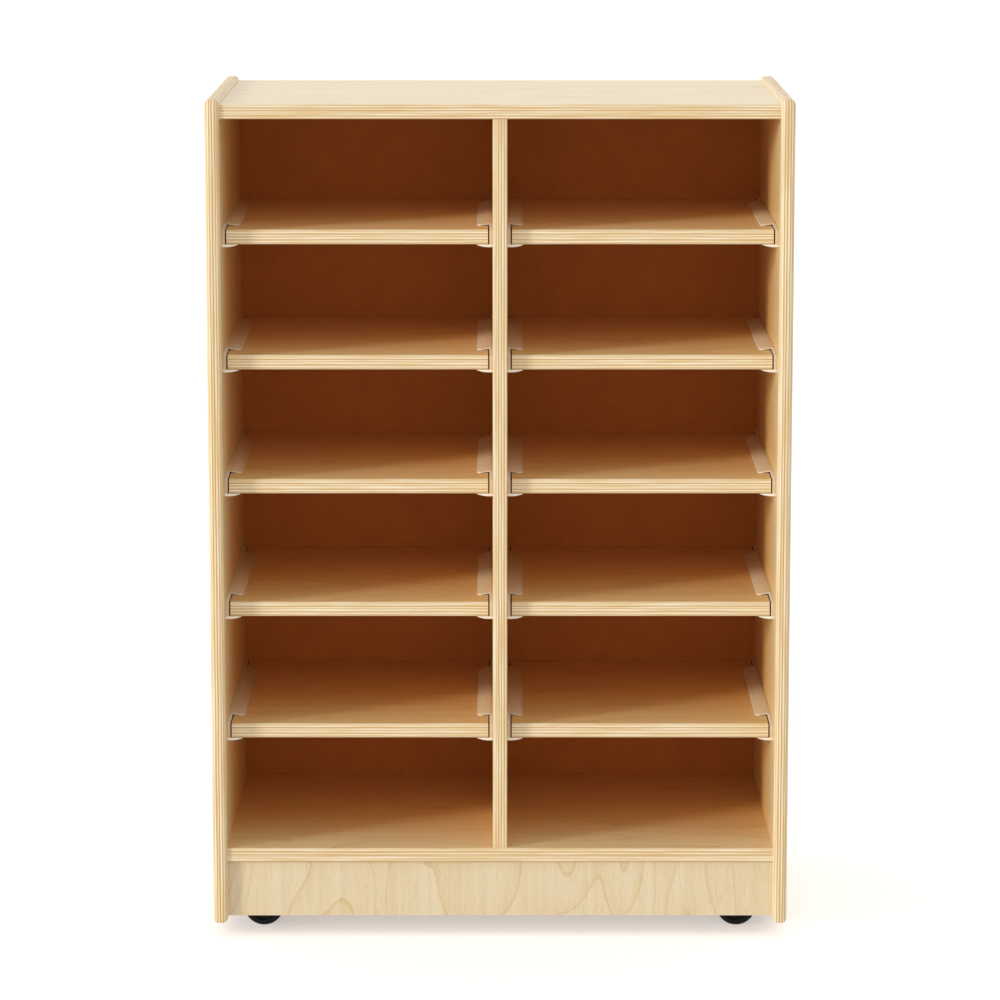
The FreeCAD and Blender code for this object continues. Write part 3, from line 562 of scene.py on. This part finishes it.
def screw_tree():
    """Set one cross-head screw on every point, facing along the point's own direction.  The
    bars that cut the cross lie half above the head, so each is twice the recess's depth."""
    tree = bpy.data.node_groups.new("cross_head_screws", "GeometryNodeTree")
    face = tree.interface
    face.new_socket("Geometry", in_out="INPUT", socket_type="NodeSocketGeometry")
    for title in ("Head Radius", "Head Height", "Recess Width", "Recess Depth"):
        face.new_socket(title, in_out="INPUT", socket_type="NodeSocketFloat")
    face.new_socket("Seed", in_out="INPUT", socket_type="NodeSocketInt")
    face.new_socket("Material", in_out="INPUT", socket_type="NodeSocketMaterial")
    face.new_socket("Geometry", in_out="OUTPUT", socket_type="NodeSocketGeometry")
    entry = wire(tree, "NodeGroupInput").outputs
    dome = wire(tree, "GeometryNodeMeshUVSphere", {
        "Segments": HEAD_SEGMENTS, "Rings": HEAD_RINGS, "Radius": 1.0}).outputs["Mesh"]
    dome_size = wire(tree, "ShaderNodeCombineXYZ", {
        "X": entry["Head Radius"], "Y": entry["Head Radius"],
        "Z": entry["Head Height"]}).outputs[0]
    head = wire(tree, "GeometryNodeTransform", {"Geometry": dome,
                                                "Scale": dome_size}).outputs["Geometry"]
    reach = compute(tree, "MULTIPLY", entry["Head Radius"], RECESS_REACH)
    deep = compute(tree, "MULTIPLY", entry["Recess Depth"], 2.0)
    long_bar = wire(tree, "ShaderNodeCombineXYZ", {
        "X": reach, "Y": entry["Recess Width"], "Z": deep}).outputs[0]
    cross_bar = wire(tree, "ShaderNodeCombineXYZ", {
        "X": entry["Recess Width"], "Y": reach, "Z": deep}).outputs[0]
    lifted = wire(tree, "ShaderNodeCombineXYZ", {"Z": entry["Head Height"]}).outputs[0]
    cutters = []
    for size in (long_bar, cross_bar):
        bar = wire(tree, "GeometryNodeMeshCube", {"Size": size}).outputs["Mesh"]
        cutters.append(wire(tree, "GeometryNodeTransform", {
            "Geometry": bar, "Translation": lifted}).outputs["Geometry"])
    recess = wire(tree, "GeometryNodeMeshBoolean", operation="DIFFERENCE")
    tree.links.new(head, recess.inputs["Mesh 1"])
    for cutter in cutters:
        tree.links.new(cutter, recess.inputs["Mesh 2"])
    way = wire(tree, "GeometryNodeInputNamedAttribute", {"Name": "way"},
               data_type="FLOAT_VECTOR").outputs["Attribute"]
    upright = wire(tree, "FunctionNodeAlignRotationToVector", {"Vector": way},
                   axis="Z").outputs["Rotation"]
    angle = wire(tree, "FunctionNodeRandomValue", {"Max": math.tau, "Seed": entry["Seed"]},
                 data_type="FLOAT")
    angle = next(out for out in angle.outputs if out.enabled)
    spin = wire(tree, "FunctionNodeAxisAngleToRotation", {"Axis": (0, 0, 1),
                                                          "Angle": angle}).outputs[0]
    turned = wire(tree, "FunctionNodeRotateRotation", {"Rotation": upright, "Rotate By": spin},
                  rotation_space="LOCAL").outputs[0]
    placed = wire(tree, "GeometryNodeInstanceOnPoints", {
        "Points": entry["Geometry"], "Instance": recess.outputs["Mesh"],
        "Rotation": turned}).outputs["Instances"]
    real = wire(tree, "GeometryNodeRealizeInstances", {"Geometry": placed}).outputs["Geometry"]
    coated = wire(tree, "GeometryNodeSetMaterial", {
        "Geometry": real, "Material": entry["Material"]}).outputs["Geometry"]
    wire(tree, "NodeGroupOutput", {0: coated})
    return tree


def screws(name, spots, sizes, seed, material, body):
    """Screws at the spots, each a place and the direction that its head faces."""
    mesh = bpy.data.meshes.new(name)
    mesh.from_pydata([place for place, _ in spots], [], [])
    facing = mesh.attributes.new("way", "FLOAT_VECTOR", "POINT")
    facing.data.foreach_set("vector", [value for _, way in spots for value in way])
    piece = link(bpy.data.objects.new(name, mesh))
    maker = piece.modifiers.new("screws", "NODES")
    maker.node_group = screw_heads
    wanted = dict(sizes, Seed=seed, Material=material)
    for socket in screw_heads.interface.items_tree:
        if socket.in_out == "INPUT" and socket.name in wanted:
            maker[socket.identifier] = wanted[socket.name]
    make_plain(piece)
    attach(piece, body)


zinc = zinc_plating("zinc_plated_steel")
screw_heads = screw_tree()
runner_screw_spots = []
for node in runner_names:
    low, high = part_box(node)
    # The web lies on its board, so the screws face away from the board's side.
    on_left = ("left" in node) == ("outer" in node)
    web_face = low.x + RUNNER_WEB if on_left else high.x - RUNNER_WEB
    for along in RUNNER_SCREW_SPOTS:
        runner_screw_spots.append(((web_face, low.y + along, low.z + RUNNER_SCREW_HEIGHT),
                                   (1 if on_left else -1, 0, 0)))
screws("runner_screws", runner_screw_spots, RUNNER_SCREW, 4, zinc, "cabinet")

# --- Casters ---------------------------------------------------------------------------------
# Four twin-wheel casters: a zinc-plated plate and kingpin screwed under a plywood block, a
# moulded black nylon hood, and two nylon wheels on a steel axle.  A wheel has a rounded tread,
# a dished outer face and a raised hub.
NYLON_BLACK = (0.004, 0.004, 0.0045, 1)
NYLON_DUST = (0.014, 0.013, 0.012, 1)
NYLON_DUSTING = 0.25
NYLON_RELIEF = (0.12, 0.0002)
HOOD_MOULD_RADIUS = 0.0007
KINGPIN_X = 0.280
PLATE_UNDERSIDE = 0.0585
PLATE_SCREW_REACH = 0.0145
PLATE_SCREW = {"Head Radius": 0.0036, "Head Height": 0.0019,
               "Recess Width": 0.0010, "Recess Depth": 0.0012}
WHEEL_STEPS = 96
WHEEL_SHARP_ANGLE = math.radians(38)
# Outline of a wheel's half section, from the hub outwards: (radius, depth behind the outer face).
WHEEL_OUTLINE = ((0, 0.0004), (0.0058, 0.0004), (0.0064, 0.0009), (0.0068, 0.0022),
                 (0.0080, 0.0025), (0.0165, 0.0019), (0.0176, 0.0013), (0.0182, 0.0003),
                 (0.0189, 0), (0.0226, 0), (0.0238, 0.0003), (0.0246, 0.0010),
                 (0.0249, 0.0020), (0.0250, 0.0036), (0.0250, 0.0124), (0.0249, 0.0140),
                 (0.0246, 0.0150), (0.0238, 0.0157), (0.0226, 0.0160), (0.0052, 0.0160),
                 (0.0044, 0.0157), (0.00306, 0.0152), (0.00306, 0.0036), (0, 0.0036))


def black_nylon(name, roughness):
    material, tree = new_material(name)
    place = wire(tree, "ShaderNodeTexCoord").outputs["Object"]
    skin = noise(tree, place, scale=700.0, detail=3.0)
    dust = noise(tree, place, scale=60.0, detail=4.0)
    colour = blend_colours(tree, compute(tree, "MULTIPLY", dust, NYLON_DUSTING), NYLON_BLACK,
                           NYLON_DUST)
    shader = wire(tree, "ShaderNodeBsdfPrincipled",
                  {"Base Color": colour, "Roughness": roughness, "Specular IOR Level": 0.22,
                   "Normal": surface_relief(tree, skin, *NYLON_RELIEF)})
    close_material(tree, shader.outputs[0])
    return material


def turned_wheel(node, outward):
    """A wheel turned from its half section; outward is the side its hub shows on, -1 or 1."""
    low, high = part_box(node)
    middle = (low + high) / 2
    face = high.y if outward > 0 else low.y
    shape = bmesh.new()
    rings = []
    for radius, depth in WHEEL_OUTLINE:
        across = face - outward * depth
        steps = WHEEL_STEPS if radius else 1
        rings.append([shape.verts.new((
            middle.x + radius * math.cos(math.tau * step / steps), across,
            middle.z + radius * math.sin(math.tau * step / steps))) for step in range(steps)])
    for inner, outer in zip(rings, rings[1:]):
        for step in range(WHEEL_STEPS):
            corners = [inner[step % len(inner)], inner[(step + 1) % len(inner)],
                       outer[(step + 1) % len(outer)], outer[step % len(outer)]]
            shape.faces.new(list(dict.fromkeys(corners)))
    bmesh.ops.recalc_face_normals(shape, faces=shape.faces)
    mesh = bpy.data.meshes.new(f"{node}_turned")
    shape.to_mesh(mesh)
    shape.free()
    mesh.shade_smooth()
    mesh.set_sharp_from_angle(angle=WHEEL_SHARP_ANGLE)
    mesh.materials.append(wheel_nylon)
    piece = link(bpy.data.objects.new(mesh.name, mesh))
    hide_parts(node)
    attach(piece, node.replace("caster_wheel", "wheel"))


low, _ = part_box("caster_blocks")
dress("caster_blocks", plywood("birch_caster_blocks", Z, low.z, X, SHELF_CROSS_PLIES,
                               OUTER_VENEER, OUTER_VENEER, seed=60.0))
hood_nylon = black_nylon("black_hood_nylon", roughness=0.42)
wheel_nylon = black_nylon("black_wheel_nylon", roughness=0.55)
dress("caster_plates", zinc)
plate_screw_spots = []
for end in ("front", "rear"):
    for hand in ("left", "right"):
        corner = f"{end}_{hand}"
        soften(f"caster_hood_{corner}", HOOD_MOULD_RADIUS, hood_nylon, f"caster_{corner}")
        dress(f"caster_axle_{corner}", zinc)
        turned_wheel(f"caster_wheel_{corner}_fore", -1)
        turned_wheel(f"caster_wheel_{corner}_aft", 1)
        hood_low, hood_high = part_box(f"caster_hood_{corner}")
        for across in (-PLATE_SCREW_REACH, PLATE_SCREW_REACH):
            for along in (-PLATE_SCREW_REACH, PLATE_SCREW_REACH):
                plate_screw_spots.append(((math.copysign(KINGPIN_X, hood_low.x) + across,
                                           (hood_low.y + hood_high.y) / 2 + along,
                                           PLATE_UNDERSIDE), (0, 0, -1)))
screws("caster_plate_screws", plate_screw_spots, PLATE_SCREW, 9, zinc, "cabinet")

# --- Floor and backdrop ----------------------------------------------------------------------
# A white floor runs out to a white surround.  For the camera it is lifted to white and keeps
# the shadow; for all other light it is plain pale paint.
FLOOR_PAINT = (0.86, 0.85, 0.84, 1)
FLOOR_LIFT = 0.50
FLOOR_GLOW = (1.0, 0.915, 0.865, 1)
FLOOR_REACH = 30.0


def seen_directly(tree):
    """1 for the camera's rays and for what metal and glass show, 0 for all other light."""
    path = wire(tree, "ShaderNodeLightPath").outputs
    return compute(tree, "MAXIMUM", path["Is Camera Ray"], compute(
        tree, "MAXIMUM", path["Is Glossy Ray"], path["Is Transmission Ray"]))


def floor_paint(name):
    material, tree = new_material(name)
    paint = wire(tree, "ShaderNodeBsdfDiffuse", {"Color": FLOOR_PAINT})
    white = wire(tree, "ShaderNodeEmission", {
        "Color": FLOOR_GLOW,
        "Strength": compute(tree, "MULTIPLY", seen_directly(tree), FLOOR_LIFT)})
    lifted = wire(tree, "ShaderNodeAddShader", {0: paint.outputs[0], 1: white.outputs[0]})
    close_material(tree, lifted.outputs[0])
    return material


floor_mesh = bpy.data.meshes.new("floor")
floor_mesh.from_pydata([(-FLOOR_REACH, -FLOOR_REACH, 0), (FLOOR_REACH, -FLOOR_REACH, 0),
                        (FLOOR_REACH, FLOOR_REACH, 0), (-FLOOR_REACH, FLOOR_REACH, 0)], [],
                       [(0, 1, 2, 3)])
floor_mesh.materials.append(floor_paint("white_floor_paint"))
floor = link(bpy.data.objects.new("floor", floor_mesh))
floor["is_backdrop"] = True

# --- Light -----------------------------------------------------------------------------------
# Even white light from all round, and one soft low lamp from the left, which leaves the left
# side of each bay in soft shade.
SURROUND_STRENGTH = 0.78
KEY_STRENGTH = 1.55
KEY_AZIMUTH = math.radians(58)
KEY_ELEVATION = math.radians(10)
KEY_SPREAD = math.radians(11)
world = bpy.data.worlds.new("white_surround")
bpy.context.scene.world = world
world.use_nodes = True
tree = world.node_tree
tree.nodes.clear()
strength = ramp_between(tree, seen_directly(tree), 0.0, 1.0, SURROUND_STRENGTH, 1.0)
background = wire(tree, "ShaderNodeBackground", {"Color": (1, 1, 1, 1), "Strength": strength})
wire(tree, "ShaderNodeOutputWorld", {"Surface": background.outputs[0]})

key_lamp = bpy.data.lights.new("key_lamp", "SUN")
key_lamp.energy = KEY_STRENGTH
key_lamp.angle = KEY_SPREAD
key = link(bpy.data.objects.new("key_lamp", key_lamp))
towards_lamp = Vector((-math.sin(KEY_AZIMUTH) * math.cos(KEY_ELEVATION),
                       -math.cos(KEY_AZIMUTH) * math.cos(KEY_ELEVATION),
                       math.sin(KEY_ELEVATION)))
key.rotation_mode = "QUATERNION"
key.rotation_quaternion = towards_lamp.to_track_quat("Z", "Y")

# --- Camera ----------------------------------------------------------------------------------
# A long lens straight in front of the cabinet, a little above its top and tipped down, so
# that the top face and the shelves show.
CAMERA_DISTANCE = 5.3151
CAMERA_HEIGHT = 1.4398
CAMERA_TIP = 0.1708
CAMERA_SENSOR_MM = 36
CAMERA_LENS_MM = 151.05
camera_data = bpy.data.cameras.new("camera")
camera_data.sensor_width = CAMERA_SENSOR_MM
camera_data.lens = CAMERA_LENS_MM
camera = link(bpy.data.objects.new("camera", camera_data))
camera.location = (0, -CAMERA_DISTANCE, CAMERA_HEIGHT)
camera.rotation_euler = (math.pi / 2 - CAMERA_TIP, 0, 0)
bpy.context.scene.camera = camera
bpy.context.scene.view_settings.view_transform = "Standard"

low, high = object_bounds()
